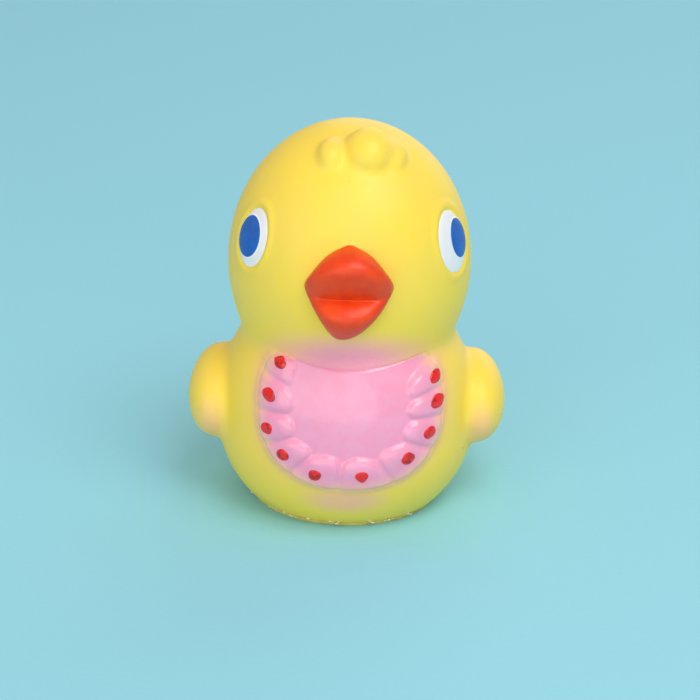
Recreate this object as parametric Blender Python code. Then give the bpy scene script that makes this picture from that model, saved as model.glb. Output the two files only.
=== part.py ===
"""Hollow rubber squeeze chick: one moulded skin, a glued base, a squeaker and hand-painted coats.

Metres, +Z up, the face towards -Y. The origin is under the middle of the toy, on the table.
"""
import math

import bmesh
import bpy
from mathutils import Matrix, Vector

# ---------------------------------------------------------------- driving dimensions

# Head and body are two eggs that melt into each other at the neck.
HEAD_Z = 0.0525
HEAD_HALF_WIDTH = 0.0254
HEAD_FRONT = 0.0245
HEAD_BACK = 0.0250
HEAD_UP = 0.0298
HEAD_DOWN = 0.0290
BODY_Z = 0.0170
BODY_HALF_WIDTH = 0.0274
BODY_FRONT = 0.0268
BODY_BACK = 0.0274
BODY_UP = 0.0270
BODY_DOWN = 0.0246
BODY_SHOULDERS = 2.6
NECK_SOFTNESS = 0.0030
NECK_SPAN = 0.0080

# The moulded wall, and the air gap kept between pieces that touch.
WALL = 0.0022
GAP = 0.0003
PAINT = 0.0005

# Glued base sheet.
SHEET = 0.0012
GLUE_LAND = 0.0030

# Wings, tail and tuft, moulded in one with the skin.
WING_Z = 0.0217
WING_BACK = 0.0010
WING_THICK = 0.0065
WING_LONG = 0.0115
WING_TALL = 0.0090
TAIL_Z = 0.0200
TAIL_STAND_OUT = 0.0046
TAIL_HALF_WIDTH = 0.0055
TAIL_HALF_HEIGHT = 0.0048
TUFT_SINK = 0.0004
# Tuft lumps: place across and forward, then half sizes across, deep and tall.
TUFT_LUMPS = (
    ("left", -0.0036, 0.0100, (0.0026, 0.0038, 0.0029)),
    ("middle", 0.0033, 0.0094, (0.0050, 0.0053, 0.0044)),
    ("right", 0.0080, 0.0086, (0.0032, 0.0038, 0.0024)),
)

# Face.
# Eyes: turn round from the beak in degrees, height above the head's centre, half-width and
# half-height of the white, then the same for the iris. The right one sits wider, and looks out.
EYES = {
    "left": ((-56.0, 0.0090, 0.0048, 0.0060), (-58.0, 0.0091, 0.0038, 0.0042)),
    "right": ((61.0, 0.0085, 0.0053, 0.0064), (65.5, 0.0088, 0.0033, 0.0040)),
}
IRIS_PAINT = 0.0003
BEAK_REACH = 0.0061

# Beak rows from the top rim to the bottom rim: rim height above the head's centre, rim half-width,
# ridge height, and the ridge's share of the reach. None keeps the ridge on the skin.
BEAK_ROWS = (
    (0.0112, 0.0012, 0.0114, None),
    (0.0093, 0.0045, 0.0111, 0.30),
    (0.0068, 0.0066, 0.0101, 0.67),
    (0.0048, 0.0080, 0.0091, 0.80),
    (0.0034, 0.0088, 0.0070, 0.82),
    (0.0023, 0.0089, 0.0038, 0.61),
    (0.0013, 0.0085, 0.0015, 0.40),
    (0.0003, 0.0080, -0.0002, 0.85),
    (-0.0014, 0.0069, -0.0018, 1.00),
    (-0.0036, 0.0052, -0.0046, 0.78),
    (-0.0060, 0.0033, -0.0072, 0.23),
    (-0.0082, 0.0011, -0.0084, None),
)
BEAK_MIDDLE = 0.0015
BEAK_HALF_TALL = 0.0098
BEAK_COLUMNS = 10
BEAK_FULLNESS = 0.8
BEAK_ROOT_SHARE = 0.9

# Bib: a ring of moulded pads round a lower panel, cut off by the crease under the head.
BIB_X = 0.0008
BIB_Z = 0.0275
BIB_HALF_WIDTH = 0.0193
BIB_DROP = 0.0162
BIB_BELOW_NECK = 0.0012
BIB_ROUNDNESS = 2.4
BIB_GAP = 0.0004
PANEL_SHARE = 0.52
PAD_RISE = 0.0009
DOT_RADIUS = 0.00115
DOT_THICK = 0.0004
# Dots: turn round the bib from straight down in degrees, and inset from its edge.
DOTS = (
    (-122, 0.0028), (-99, 0.0031), (-76, 0.0025), (-56, 0.0033), (-29, 0.0035),
    (12, 0.0041), (52, 0.0043), (74, 0.0031), (94, 0.0021), (109, 0.0018),
)

# Squeaker, pressed into the base sheet.
CUP_BORE = 0.0052
CUP_WALL = 0.0009
CUP_TALL = 0.0090
CUP_RECESS = 0.0004
CUP_FLOOR = 0.0010
FLANGE_WIDE = 0.0028
FLANGE_THICK = 0.0010
AIR_HOLE = 0.0020
REED_PLATE = 0.0012
REED_SLOT_WIDE = 0.0026
REED_WIDE = 0.0019
REED_THICK = 0.0003
REED_PIVOT = 0.0024
REED_HELD = 0.0011
CLAMP_TALL = 0.0015
RIM_LAND = 0.0008

# Facets.
AROUND = 48
AROUND_INSIDE = 28


def remove_everything():
    for thing in list(bpy.data.objects):
        bpy.data.objects.remove(thing, do_unlink=True)


# ---------------------------------------------------------------- the skin's own shape

def head_share(z):
    """The head egg's width at height z, as a share of its greatest width."""
    reach = HEAD_UP if z > HEAD_Z else HEAD_DOWN
    return math.sqrt(max(0.0, 1.0 - ((z - HEAD_Z) / reach) ** 2))


def body_share(z):
    """The same for the body egg, whose shoulders are squarer than an ellipse."""
    reach, power = (BODY_UP, BODY_SHOULDERS) if z > BODY_Z else (BODY_DOWN, 2.0)
    return max(0.0, 1.0 - abs((z - BODY_Z) / reach) ** power) ** (1.0 / power)


def neck_height():
    """Height at which the head egg and the body egg are equally wide."""
    low = BODY_Z
    high = HEAD_Z
    for _ in range(40):
        middle = (low + high) / 2
        if BODY_HALF_WIDTH * body_share(middle) > HEAD_HALF_WIDTH * head_share(middle):
            low = middle
        else:
            high = middle
    return (low + high) / 2


NECK_Z = neck_height()
CROWN_Z = HEAD_Z + HEAD_UP
BASE_TOP = SHEET + GAP


def radii(z):
    """Half-width, front and back reach of the skin at height z."""
    head = head_share(z)
    body = body_share(z)
    soft = NECK_SOFTNESS * math.exp(-((z - NECK_Z) / NECK_SPAN) ** 2)
    eggs = ((HEAD_HALF_WIDTH, BODY_HALF_WIDTH), (HEAD_FRONT, BODY_FRONT), (HEAD_BACK, BODY_BACK))
    return [(h * head + b * body + math.hypot(h * head - b * body, soft)) / 2 for h, b in eggs]


def on_skin(angle, z):
    """Point of the skin at an angle round from the face towards +X."""
    side, front, back = radii(z)
    depth = front if math.cos(angle) > 0 else back
    return Vector((side * math.sin(angle), -depth * math.cos(angle), z))


def skin_normal(angle, z):
    step = 0.0002
    high = min(z + step, CROWN_Z - 1e-6)
    low = z - step
    round_it = on_skin(angle + 0.01, z) - on_skin(angle - 0.01, z)
    up_it = on_skin(angle, high) - on_skin(angle, low)
    return round_it.cross(up_it).normalized()


def lifted(angle, z, lift):
    return on_skin(angle, z) + lift * skin_normal(angle, z)


def angle_of(x, z):
    return math.asin(max(-1.0, min(1.0, x / radii(z)[0])))


def tail_reach():
    return radii(TAIL_Z)[2] + TAIL_STAND_OUT


def beak_front():
    return HEAD_FRONT + BEAK_REACH + GAP + PAINT


# The toy's own axis stands off the origin so that the beak and the tail reach equally far.
AXIS_Y = (beak_front() - tail_reach()) / 2


# ---------------------------------------------------------------- materials and objects

def linear(code):
    values = [int(code[i:i + 2], 16) / 255 for i in (0, 2, 4)]
    return [v / 12.92 if v <= 0.04045 else ((v + 0.055) / 1.055) ** 2.4 for v in values] + [1.0]


def finish(name, code, roughness):
    material = bpy.data.materials.new(name)
    material.use_nodes = True
    shader = material.node_tree.nodes["Principled BSDF"]
    shader.inputs["Base Color"].default_value = linear(code)
    shader.inputs["Roughness"].default_value = roughness
    shader.inputs["Metallic"].default_value = 0.0
    return material


def put(name, bm, material, axis=True, smooth=50.0):
    """Make an object of a bmesh; axis shifts it from the toy's axis into the world."""
    if axis:
        bmesh.ops.translate(bm, verts=bm.verts, vec=(0.0, AXIS_Y, 0.0))
    bmesh.ops.recalc_face_normals(bm, faces=bm.faces)
    mesh = bpy.data.meshes.new(name)
    bm.to_mesh(mesh)
    bm.free()
    mesh.shade_smooth()
    mesh.set_sharp_from_angle(angle=math.radians(smooth))
    thing = bpy.data.objects.new(name, mesh)
    bpy.context.scene.collection.objects.link(thing)
    if material:
        mesh.materials.append(material)
    return thing


def as_tool(thing):
    thing.hide_render = True
    thing.display_type = 'WIRE'
    return thing


def boolean(thing, tool, operation):
    modifier = thing.modifiers.new(f"{operation.lower()}_{tool.name}", 'BOOLEAN')
    modifier.operation = operation
    modifier.object = as_tool(tool)
    modifier.solver = 'EXACT'


def loop_faces(bm, low, high, closed=True):
    """Quads between two rows of vertices of the same length."""
    count = len(low)
    for i in range(count if closed else count - 1):
        j = (i + 1) % count
        bm.faces.new((low[i], low[j], high[j], high[i]))


def turned(profile, segments):
    """Closed ring turned round Z from a closed outline of (radius, height) points."""
    bm = bmesh.new()
    rings = []
    for i in range(segments):
        angle = 2 * math.pi * i / segments
        rings.append([bm.verts.new((r * math.cos(angle), r * math.sin(angle), z)) for r, z in profile])
    for i in range(segments):
        loop_faces(bm, rings[i], rings[(i + 1) % segments])
    return bm


def extruded(outline, bottom, top, hole=None):
    """Prism of an outline in X and Y, with an optional hole through it."""
    bm = bmesh.new()
    rims = []
    for points in [outline] + ([hole] if hole else []):
        low = [bm.verts.new((x, y, bottom)) for x, y in points]
        high = [bm.verts.new((x, y, top)) for x, y in points]
        loop_faces(bm, low, high)
        rims.append((low, high))
    for level in (0, 1):
        loops = [rim[level] for rim in rims]
        if hole:
            edges = []
            for loop in loops:
                edges += [bm.edges.get((loop[i], loop[i - 1])) for i in range(len(loop))]
            bmesh.ops.triangle_fill(bm, edges=edges, use_beauty=True)
        else:
            bm.faces.new(loops[0])
    return bm


# ---------------------------------------------------------------- moulded skin

def ring_heights(inner):
    """Heights of the skin's rings, closer together where it curves over."""
    share = 0.55 if inner else 1.0
    start = BASE_TOP + (WALL if inner else 0.0)
    heights = [start]

    def sweep(centre, reach, first, last, steps):
        begin = math.asin((first - centre) / reach)
        end = math.asin(max(-1.0, min(1.0, (last - centre) / reach)))
        for i in range(1, steps + 1):
            heights.append(centre + reach * math.sin(begin + (end - begin) * i / steps))

    sweep(BODY_Z, BODY_DOWN, start, BODY_Z, round(6 * share))
    sweep(BODY_Z, BODY_UP, BODY_Z, NECK_Z, round(11 * share))
    sweep(HEAD_Z, HEAD_DOWN, NECK_Z, HEAD_Z, round(9 * share))
    sweep(HEAD_Z, HEAD_UP, HEAD_Z, CROWN_Z, round(13 * share))
    return heights[:-1]


def egg_stack(around, inner):
    """Closed solid of the skin, or of the air inside it with its mouth run out below."""
    bm = bmesh.new()
    lift = -WALL if inner else 0.0
    angles = [2 * math.pi * i / around for i in range(around)]
    loops = []
    if inner:
        side, front, back = [r - GLUE_LAND for r in radii(BASE_TOP)]
        for z in (-WALL, BASE_TOP + WALL / 2):
            loops.append([
                bm.verts.new((side * math.sin(a), -(front if math.cos(a) > 0 else back) * math.cos(a), z))
                for a in angles])
    for z in ring_heights(inner):
        loops.append([bm.verts.new(lifted(a, z, lift)) for a in angles])
    for low, high in zip(loops, loops[1:]):
        loop_faces(bm, low, high)
    pole = bm.verts.new((0.0, 0.0, CROWN_Z + lift))
    for i in range(around):
        bm.faces.new((loops[-1][i], loops[-1][(i + 1) % around], pole))
    bm.faces.new(loops[0])
    return bm


def egg(name, centre, half_sizes, segments=18, rings=12):
    bm = bmesh.new()
    bmesh.ops.create_uvsphere(bm, u_segments=segments, v_segments=rings, radius=1.0)
    bm.transform(Matrix.Translation(centre) @ Matrix.Diagonal((*half_sizes, 1.0)))
    return put(name, bm, None)


def beak_rows(lift):
    """Rows of points over the beak, from its top rim down over the mouth to its bottom rim."""
    ridge = []
    for _, _, ridge_up, share in BEAK_ROWS:
        depth = radii(HEAD_Z + ridge_up)[1] if share is None else HEAD_FRONT + share * BEAK_REACH
        ridge.append(Vector((0.0, -depth, HEAD_Z + ridge_up)))
    rows = []
    for k, (rim_up, half_width, _, share) in enumerate(BEAK_ROWS):
        z = HEAD_Z + rim_up + lift * (rim_up - BEAK_MIDDLE) / BEAK_HALF_TALL
        along = ridge[min(k + 1, len(ridge) - 1)] - ridge[max(k - 1, 0)]
        outward = along.cross(Vector((1.0, 0.0, 0.0))).normalized()
        top = ridge[k] + lift * outward
        if share is None:
            top = lifted(0.0, z + (ridge[k].z - HEAD_Z - rim_up), lift)
        row = []
        for i in range(BEAK_COLUMNS + 1):
            turn = math.pi * (i / BEAK_COLUMNS - 0.5)
            rim = lifted(angle_of((half_width + lift) * math.copysign(1.0, turn), z), z, lift)
            share_up = max(0.0, math.cos(turn)) ** BEAK_FULLNESS
            row.append(Vector((
                abs(rim.x) * math.sin(turn),
                rim.y + (top.y - rim.y) * share_up,
                rim.z + (top.z - rim.z) * share_up)))
        rows.append(row)
    return rows


def grid_faces(bm, rows):
    for low, high in zip(rows, rows[1:]):
        loop_faces(bm, low, high, closed=False)


def rim_of(rows):
    right = [row[-1] for row in rows[1:-1]]
    left = [row[0] for row in rows[1:-1]]
    return rows[0] + right + rows[-1][::-1] + left[::-1]


def two_sided(outer, inner):
    """Closed body between two grids of the same size, joined round their rims."""
    bm = bmesh.new()
    over = [[bm.verts.new(p) for p in row] for row in outer]
    under = [[bm.verts.new(p) for p in row] for row in inner]
    grid_faces(bm, over)
    grid_faces(bm, [row[::-1] for row in under])
    loop_faces(bm, rim_of(over), rim_of(under))
    return bm


def beak_core():
    """The skin's own bump under the orange coat, rooted in the middle of the wall."""
    rows = beak_rows(0.0)
    root = []
    for row in rows:
        heights = [HEAD_Z + (p.z - HEAD_Z) * BEAK_ROOT_SHARE for p in row]
        root.append([lifted(angle_of(p.x * BEAK_ROOT_SHARE, z), z, -WALL / 2)
                     for p, z in zip(row, heights)])
    return put("beak_core", two_sided(rows, root), None)


def crown_height(x, forward):
    """Height of the head's top over a point x across and forward of its middle."""
    share = (x / HEAD_HALF_WIDTH) ** 2 + (forward / HEAD_FRONT) ** 2
    return HEAD_Z + HEAD_UP * math.sqrt(max(0.0, 1.0 - share))


def body_shell(material):
    shell = put("body_shell", egg_stack(AROUND, inner=False), material)
    side = radii(WING_Z)[0]
    for name, hand in (("wing_left_form", -1), ("wing_right_form", 1)):
        centre = Vector((hand * side, WING_BACK, WING_Z))
        boolean(shell, egg(name, centre, (WING_THICK, WING_LONG, WING_TALL)), 'UNION')
    tail_depth = 2 * TAIL_STAND_OUT
    tail_centre = Vector((0.0, tail_reach() - tail_depth, TAIL_Z))
    boolean(shell, egg("tail_form", tail_centre, (TAIL_HALF_WIDTH, tail_depth, TAIL_HALF_HEIGHT),
                       segments=16, rings=12), 'UNION')
    for name, x, forward, halves in TUFT_LUMPS:
        centre = Vector((x, -forward, crown_height(x, forward) - TUFT_SINK))
        boolean(shell, egg(f"tuft_{name}_form", centre, halves, segments=16, rings=10), 'UNION')
    boolean(shell, beak_core(), 'UNION')
    boolean(shell, put("air_space", egg_stack(AROUND_INSIDE, inner=True), None), 'DIFFERENCE')
    return shell


# ---------------------------------------------------------------- base sheet and squeaker

def base_sheet(material):
    """Flat rubber sheet trimmed flush with the skin, holed for the squeaker."""
    bm = bmesh.new()
    angles = [2 * math.pi * i / AROUND for i in range(AROUND)]
    outer = [[bm.verts.new((*on_skin(a, z).xy, z)) for a in angles] for z in (0.0, SHEET)]
    hole = CUP_BORE + CUP_WALL + GAP
    inner = [[bm.verts.new((hole * math.sin(a), -hole * math.cos(a), z)) for a in angles]
             for z in (0.0, SHEET)]
    loop_faces(bm, outer[0], outer[1])
    loop_faces(bm, inner[1], inner[0])
    loop_faces(bm, inner[0], outer[0])
    loop_faces(bm, outer[1], inner[1])
    return put("base_sheet", bm, material)


def squeaker(cup_material, reed_material):
    outside = CUP_BORE + CUP_WALL
    bottom = CUP_RECESS
    floor = bottom + CUP_FLOOR
    flange = SHEET + GAP
    top = flange + CUP_TALL
    cup = turned((
        (AIR_HOLE, bottom), (outside, bottom), (outside, flange), (outside + FLANGE_WIDE, flange),
        (outside + FLANGE_WIDE, flange + FLANGE_THICK), (outside, flange + FLANGE_THICK),
        (outside, top), (CUP_BORE, top), (CUP_BORE, floor), (AIR_HOLE, floor)), 32)
    put("squeaker_cup", cup, cup_material, smooth=35.0)

    # Reed plate: a disc on the cup's floor with the slot that the tongue beats in.
    plate_radius = CUP_BORE - GAP
    plate_bottom = floor + GAP
    plate_top = plate_bottom + REED_PLATE
    half_slot = REED_SLOT_WIDE / 2
    slot_end = math.sqrt((plate_radius - RIM_LAND) ** 2 - half_slot ** 2)
    slot_start = -REED_PIVOT + 2 * GAP
    disc = [(plate_radius * math.cos(2 * math.pi * i / 32), plate_radius * math.sin(2 * math.pi * i / 32))
            for i in range(32)]
    slot = [(slot_start, -half_slot), (slot_end, -half_slot),
            (slot_end, half_slot), (slot_start, half_slot)]
    put("reed_plate", extruded(disc, plate_bottom, plate_top, hole=slot), cup_material, smooth=35.0)

    # Reed: a thin tongue held at its root, free over the slot.
    reed_bottom = plate_top + GAP
    reed_top = reed_bottom + REED_THICK
    tip = slot_end - GAP
    half_reed = REED_WIDE / 2
    tongue = [(-REED_HELD, -half_reed), (tip + REED_PIVOT, -half_reed),
              (tip + REED_PIVOT, half_reed), (-REED_HELD, half_reed)]
    reed = put("reed", extruded(tongue, -REED_THICK / 2, REED_THICK / 2), reed_material, axis=False)
    reed.location = (-REED_PIVOT, AXIS_Y, (reed_bottom + reed_top) / 2)

    # Clamp: a bar across the bore that holds the root of the reed down on the plate.
    inner_edge = -REED_PIVOT - GAP
    half_turn = math.acos(inner_edge / plate_radius)
    arc = [(plate_radius * math.cos(half_turn + (2 * math.pi - 2 * half_turn) * i / 10),
            plate_radius * math.sin(half_turn + (2 * math.pi - 2 * half_turn) * i / 10)) for i in range(11)]
    clamp_bottom = reed_top + GAP
    put("reed_clamp", extruded(arc, clamp_bottom, clamp_bottom + CLAMP_TALL), cup_material, smooth=35.0)


# ---------------------------------------------------------------- painted coats

def coat(name, material, angle, z, outline, shares, spokes, under, over):
    """Closed coat on the skin round a middle point.

    outline(turn) gives the rim's distance across and up; under and over give the two lifts.
    """
    bm = bmesh.new()

    def layer(lift):
        def at(share, turn):
            across, up = outline(turn)
            height = z + share * up
            return lifted(angle + angle_of(share * across, height), height, lift(share, turn))
        middle = bm.verts.new(at(0.0, 0.0))
        loops = [[bm.verts.new(at(share, 2 * math.pi * i / spokes)) for i in range(spokes)]
                 for share in shares]
        for i in range(spokes):
            bm.faces.new((middle, loops[0][i], loops[0][(i + 1) % spokes]))
        for low, high in zip(loops, loops[1:]):
            loop_faces(bm, low, high)
        return loops[-1]

    loop_faces(bm, layer(under), layer(over))
    return put(name, bm, material)


def ellipse(half_width, half_height):
    return lambda turn: (half_width * math.sin(turn), -half_height * math.cos(turn))


def even(lift):
    return lambda share, turn: lift


def eyes(white, blue):
    for side, (eye, iris) in EYES.items():
        degrees, rise, half_width, half_height = eye
        coat(f"eye_white_{side}", white, math.radians(degrees), HEAD_Z + rise,
             ellipse(half_width, half_height), (0.4, 0.75, 1.0), 20, even(GAP), even(GAP + PAINT))
        degrees, rise, half_width, half_height = iris
        coat(f"iris_{side}", blue, math.radians(degrees), HEAD_Z + rise,
             ellipse(half_width, half_height), (0.55, 1.0), 20,
             even(2 * GAP + PAINT), even(2 * GAP + PAINT + IRIS_PAINT))


def bib_oval(turn):
    """Reach of the squarish oval round the bib, at a turn from straight down."""
    sine = abs(math.sin(turn)) / BIB_HALF_WIDTH
    cosine = abs(math.cos(turn)) / BIB_DROP
    return (sine ** BIB_ROUNDNESS + cosine ** BIB_ROUNDNESS) ** (-1 / BIB_ROUNDNESS)


def bib_rim(turn):
    """Rim of the bib, the oval cut off just under the neck crease."""
    reach = bib_oval(turn)
    ceiling = NECK_Z - BIB_BELOW_NECK - BIB_Z
    if -math.cos(turn) * reach > ceiling:
        reach = ceiling / -math.cos(turn)
    return reach * math.sin(turn), -reach * math.cos(turn)


def pad_height(share, turn):
    """Rise of the ten pads above the panel, with a groove midway between two dots."""
    if share <= PANEL_SHARE:
        return 0.0
    degrees = (math.degrees(turn) + 180) % 360 - 180
    gaps = [abs(degrees - (a[0] + b[0]) / 2) for a, b in zip(DOTS, DOTS[1:])]
    groove = math.exp(-(min(gaps) / 4.0) ** 2)
    edge = 0.55 if share > 0.97 else 1.0
    return PAD_RISE * edge * (1 - 0.5 * groove)


def bib(pink, red):
    rings = (0.3, PANEL_SHARE, PANEL_SHARE + 0.06, 0.72, 0.86, 1.0)
    coat("bib", pink, angle_of(BIB_X, BIB_Z), BIB_Z, bib_rim, rings, 56,
         even(BIB_GAP), lambda share, turn: BIB_GAP + PAINT + pad_height(share, turn))
    under = BIB_GAP + GAP + PAINT + PAD_RISE
    for number, (degrees, inset) in enumerate(DOTS, 1):
        turn = math.radians(degrees)
        reach = bib_oval(turn) - inset
        z = min(BIB_Z - reach * math.cos(turn), NECK_Z - BIB_BELOW_NECK - DOT_RADIUS)
        coat(f"bib_dot_{number:02d}", red, angle_of(BIB_X + reach * math.sin(turn), z), z,
             ellipse(DOT_RADIUS, DOT_RADIUS), (1.0,), 10, even(under), even(under + DOT_THICK))


def beak(orange):
    put("beak", two_sided(beak_rows(GAP + PAINT), beak_rows(GAP)), orange, smooth=60.0)


remove_everything()
body_shell(finish("yellow_rubber", "FBE05A", 0.45))
base_sheet(finish("base_rubber", "E9CF5C", 0.6))
squeaker(finish("white_polythene", "E8E6DE", 0.4), finish("clear_reed", "D8D4C0", 0.3))
beak(finish("orange_paint", "F05423", 0.3))
eyes(finish("white_paint", "E4E4EC", 0.3), finish("blue_paint", "0A5AB4", 0.3))
bib(finish("pink_paint", "F5A9CC", 0.3), finish("red_paint", "D8161C", 0.25))
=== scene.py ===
"""Looks of a hollow rubber squeeze chick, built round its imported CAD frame. Metres, +Z up, face to -Y."""
import math
import random

import bpy
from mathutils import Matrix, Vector


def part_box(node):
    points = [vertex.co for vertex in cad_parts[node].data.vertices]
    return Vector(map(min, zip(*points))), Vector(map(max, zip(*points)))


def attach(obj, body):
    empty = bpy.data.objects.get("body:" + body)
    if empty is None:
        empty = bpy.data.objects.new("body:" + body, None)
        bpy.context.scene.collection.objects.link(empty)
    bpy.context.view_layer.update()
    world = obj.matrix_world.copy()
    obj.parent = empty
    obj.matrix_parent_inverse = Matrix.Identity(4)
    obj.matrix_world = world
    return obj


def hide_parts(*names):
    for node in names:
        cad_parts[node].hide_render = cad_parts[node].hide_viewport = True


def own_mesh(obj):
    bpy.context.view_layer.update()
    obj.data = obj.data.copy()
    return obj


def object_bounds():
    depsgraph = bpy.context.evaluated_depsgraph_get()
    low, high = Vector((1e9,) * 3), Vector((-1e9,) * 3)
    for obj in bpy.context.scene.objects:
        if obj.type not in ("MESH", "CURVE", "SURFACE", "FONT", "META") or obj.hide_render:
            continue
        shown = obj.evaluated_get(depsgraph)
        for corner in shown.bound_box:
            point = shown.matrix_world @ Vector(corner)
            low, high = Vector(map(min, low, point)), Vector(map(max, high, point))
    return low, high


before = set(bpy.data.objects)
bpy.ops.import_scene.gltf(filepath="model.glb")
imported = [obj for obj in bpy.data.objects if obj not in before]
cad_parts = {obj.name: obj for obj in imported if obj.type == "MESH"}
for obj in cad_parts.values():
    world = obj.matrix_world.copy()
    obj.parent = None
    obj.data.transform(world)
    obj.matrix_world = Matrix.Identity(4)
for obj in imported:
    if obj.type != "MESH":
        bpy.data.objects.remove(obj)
cad_low, cad_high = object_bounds()

# ---------------------------------------------------------------------------
# Moulded skin.
# One hollow casting in natural rubber about 2 mm thick: head, body, stub wings, tail, tuft and
# the bump under the beak. It is slush-cast in a plaster mould, so every edge on it is soft, and
# the yellow goes right through. The face sits in two shallow sockets with a raised lip.

HEAD_Z = 0.0525
HEAD_HALF_WIDTH = 0.0254
HEAD_FRONT = 0.0245
HEAD_BACK = 0.0250
HEAD_UP = 0.0298
HEAD_DOWN = 0.0290
BODY_Z = 0.0170
BODY_HALF_WIDTH = 0.0274
BODY_FRONT = 0.0268
BODY_BACK = 0.0274
BODY_UP = 0.0270
BODY_DOWN = 0.0246
BODY_SHOULDERS = 2.6
NECK_Z = 0.0375
NECK_SOFTNESS = 0.0018
NECK_SPAN = 0.0080
CROWN_Z = HEAD_Z + HEAD_UP
WALL = 0.0022
GLUE_LAND = 0.0030
FOOT_OVERRUN = 0.0015
SEAM_GAP = 0.0001
SEAM_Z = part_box("base_sheet")[1].z + SEAM_GAP
cup_low, cup_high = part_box("squeaker_cup")
AXIS_Y = (cup_low.y + cup_high.y) / 2


def reach_at(z):
    """Half-width, front and back reach of the skin at height z: two eggs melted together."""
    up = HEAD_UP if z > HEAD_Z else HEAD_DOWN
    head = math.sqrt(max(0.0, 1.0 - ((z - HEAD_Z) / up) ** 2))
    down, power = (BODY_UP, BODY_SHOULDERS) if z > BODY_Z else (BODY_DOWN, 2.0)
    body = max(0.0, 1.0 - abs((z - BODY_Z) / down) ** power) ** (1.0 / power)
    soft = NECK_SOFTNESS * math.exp(-((z - NECK_Z) / NECK_SPAN) ** 2)
    eggs = ((HEAD_HALF_WIDTH, BODY_HALF_WIDTH), (HEAD_FRONT, BODY_FRONT), (HEAD_BACK, BODY_BACK))
    return [(h * head + b * body + math.hypot(h * head - b * body, soft)) / 2 for h, b in eggs]


def on_skin(angle, z, inset=0.0):
    side, front, back = [max(0.0, reach - inset) for reach in reach_at(z)]
    depth = front if math.cos(angle) > 0 else back
    return Vector((side * math.sin(angle), AXIS_Y - depth * math.cos(angle), z))


def off_skin(angle, z, lift):
    """Point of the skin at an angle round from the face, lifted square off it."""
    turn, climb = 0.01, 0.0002
    high = min(z + climb, CROWN_Z - 1e-6)
    round_it = on_skin(angle + turn, z) - on_skin(angle - turn, z)
    up_it = on_skin(angle, high) - on_skin(angle, z - climb)
    return on_skin(angle, z) + lift * round_it.cross(up_it).normalized()


def angle_at(x, z):
    return math.asin(max(-1.0, min(1.0, x / reach_at(z)[0])))


def pick(piece):
    bpy.ops.object.select_all(action='DESELECT')
    piece.select_set(True)
    bpy.context.view_layer.objects.active = piece


def modify(piece, kind, **settings):
    """Adds a modifier with its settings and applies it."""
    pick(piece)
    modifier = piece.modifiers.new(kind.title(), kind)
    for key, value in settings.items():
        setattr(modifier, key, value)
    bpy.ops.object.modifier_apply(modifier=modifier.name)


def ball(name, segments, rings):
    """A ball of radius 1 at the origin, to be shaped vertex by vertex."""
    bpy.ops.object.select_all(action='DESELECT')
    bpy.ops.mesh.primitive_uv_sphere_add(segments=segments, ring_count=rings, radius=1.0)
    piece = bpy.context.object
    piece.name = name
    piece.data.name = name
    return piece


def lump(name, middle, half_sizes, turn=(0.0, 0.0, 0.0)):
    piece = ball(name, 48, 32)
    piece.scale = half_sizes
    piece.rotation_euler = [math.radians(a) for a in turn]
    piece.location = middle
    bpy.ops.object.transform_apply()
    return piece


def join(piece, others):
    pick(piece)
    for other in others:
        other.select_set(True)
    bpy.ops.object.join()


def egg_form(name, low, high, segments, rings, inset, mouth=None):
    """The whole skin, or the air inside it, shaped from a ball between two heights."""
    piece = ball(name, segments, rings)
    for vertex in piece.data.vertices:
        x, y, z = vertex.co
        height = low + (high - low) * (z + 1) / 2
        if mouth is not None and height < mouth:
            point = on_skin(math.atan2(x, -y), SEAM_Z, GLUE_LAND)
            point.z = height
        else:
            point = on_skin(math.atan2(x, -y), height, inset)
        if math.hypot(x, y) < 1e-5:
            point = Vector((0.0, AXIS_Y, height))
        vertex.co = point
    return piece


skin = egg_form("rubber_skin", SEAM_Z - FOOT_OVERRUN, CROWN_Z, 180, 150, 0.0)

# The wings and the tail are melted into the body: remeshed as one clay, then smoothed.
WING_Z = 0.0217
WING_HALF = (0.0064, 0.0126, 0.0092)
WING_BACK = 0.0010
WING_TILT = 8.0
WING_SPLAY = 5.0
TAIL_Z = 0.0205
TAIL_HALF = (0.0054, 0.0092, 0.0046)
TAIL_IN = 0.0094
TAIL_TILT = -16.0
BODY_CLAY = 0.0006
BODY_SMOOTHING = 20
wing_x = reach_at(WING_Z)[0]
wings = [lump(f"wing_{hand}", (hand * wing_x, AXIS_Y + WING_BACK, WING_Z), WING_HALF,
              (WING_TILT, 0.0, hand * WING_SPLAY)) for hand in (-1, 1)]
tail = lump("tail", (0.0, cad_high[1] - TAIL_IN, TAIL_Z), TAIL_HALF, (TAIL_TILT, 0.0, 0.0))
join(skin, wings + [tail])
modify(skin, 'REMESH', mode='VOXEL', voxel_size=BODY_CLAY)
modify(skin, 'SMOOTH', factor=0.5, iterations=BODY_SMOOTHING)

# The tuft is a small round lump, a big one and a flat lick behind it, side by side, each lying
# along the slope of the crown.
CROWN_SLOPE = 27.0
TUFT_LUMPS = (
    ((-0.0042, -0.0100, 0.0785), (0.0028, 0.0042, 0.0027)),
    ((0.0033, -0.0094, 0.0794), (0.0050, 0.0056, 0.0040)),
    ((0.0080, -0.0086, 0.0785), (0.0032, 0.0042, 0.0017)),
)
tuft = [lump(f"tuft_{k}", (x, AXIS_Y + y, z), halves, (CROWN_SLOPE, 0.0, 0.0))
        for k, ((x, y, z), halves) in enumerate(TUFT_LUMPS)]

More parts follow.
